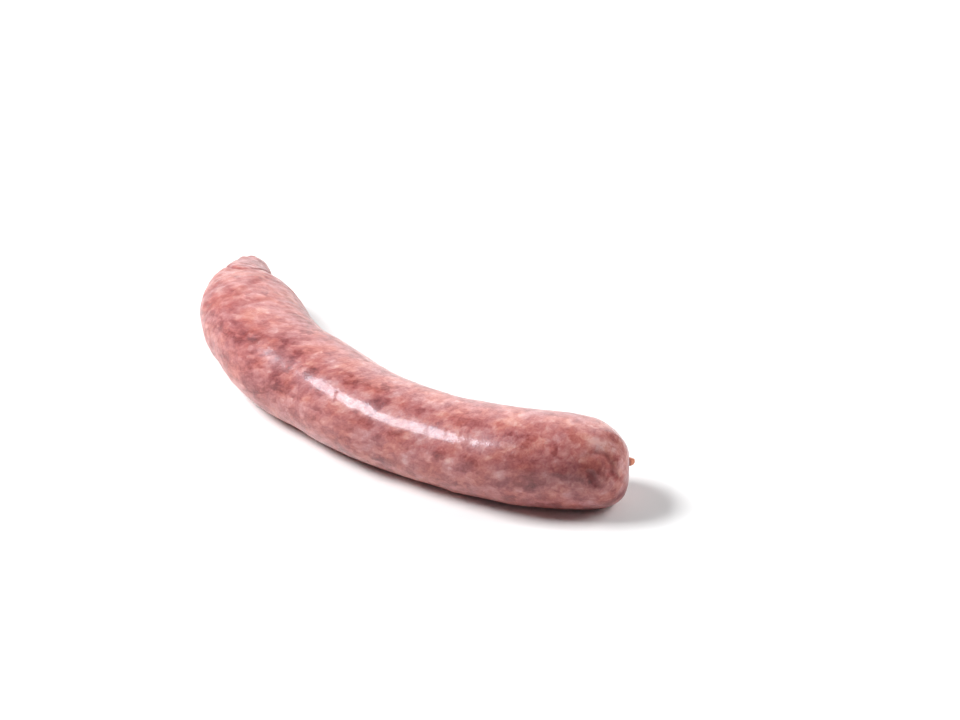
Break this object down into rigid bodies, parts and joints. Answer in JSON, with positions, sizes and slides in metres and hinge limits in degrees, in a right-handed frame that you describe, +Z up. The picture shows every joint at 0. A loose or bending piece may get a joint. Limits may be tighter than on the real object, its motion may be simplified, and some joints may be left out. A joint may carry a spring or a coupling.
{
  "type": "raw sausage",
  "caption": "Raw coarse-cut sausage in its casing, lying in a gentle bend, twisted off at one end and tied with a dried nub at the other.",
  "frame": {"origin": "centre of the bounding box in plan, on the surface that the sausage lies on", "axes": "+X from the twisted end towards the tied end, +Z up, the bend's outer side towards -Y"},
  "size_m": [0.186, 0.059, 0.0333],
  "materials": {
    "raw_meat": "moist translucent casing over mottled pink and brown-red coarse meat with pale fat, soft broken gloss"
  },
  "bodies": {
    "root": {"sausage": "raw_meat"}
  },
  "joints": []
}
